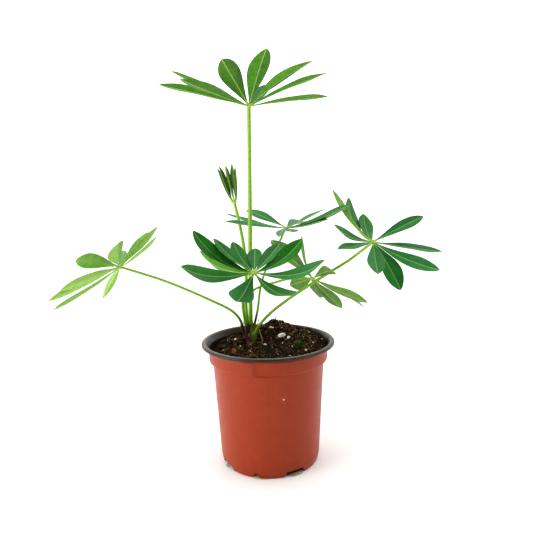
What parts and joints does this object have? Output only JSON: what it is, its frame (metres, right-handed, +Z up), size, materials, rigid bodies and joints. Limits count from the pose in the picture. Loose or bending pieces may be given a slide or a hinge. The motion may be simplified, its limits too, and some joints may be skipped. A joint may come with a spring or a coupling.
{
  "type": "potted young lupin plant",
  "caption": "Young lupin with long-stalked palmate leaves rising from one crown in a round terracotta-coloured plastic nursery pot filled with potting mix.",
  "frame": {"origin": "centre of the pot's base, on the surface that the pot stands on", "axes": "+Z up through the pot, +X to the viewer's right and +Y away from the viewer in the picture's view"},
  "size_m": [0.349, 0.1855, 0.35],
  "materials": {
    "pot_plastic": "satin",
    "potting_mix": "matte",
    "perlite": "matte",
    "bark": "matte",
    "crown_skin": "satin",
    "stalk_skin": "satin",
    "leaf": "satin",
    "young_leaf": "matte"
  },
  "bodies": {
    "root": {"pot": "pot_plastic", "potting_mix": "potting_mix", "perlite_grain_1": "perlite", "perlite_grain_2": "perlite", "perlite_grain_3": "perlite", "perlite_grain_4": "perlite", "perlite_grain_5": "perlite", "perlite_grain_6": "perlite", "bark_chip": "bark", "crown": "crown_skin", "top_leaf_stalk": "stalk_skin", "top_leaf": "leaf", "left_leaf_stalk": "stalk_skin", "left_leaf": "leaf", "front_leaf_stalk": "stalk_skin", "front_leaf": "leaf", "right_leaf_stalk": "stalk_skin", "right_leaf": "leaf", "back_leaf_stalk": "stalk_skin", "back_leaf": "leaf", "low_leaf_stalk": "stalk_skin", "low_leaf": "leaf", "furled_leaf_stalk": "stalk_skin", "furled_leaf": "young_leaf"}
  },
  "joints": []
}
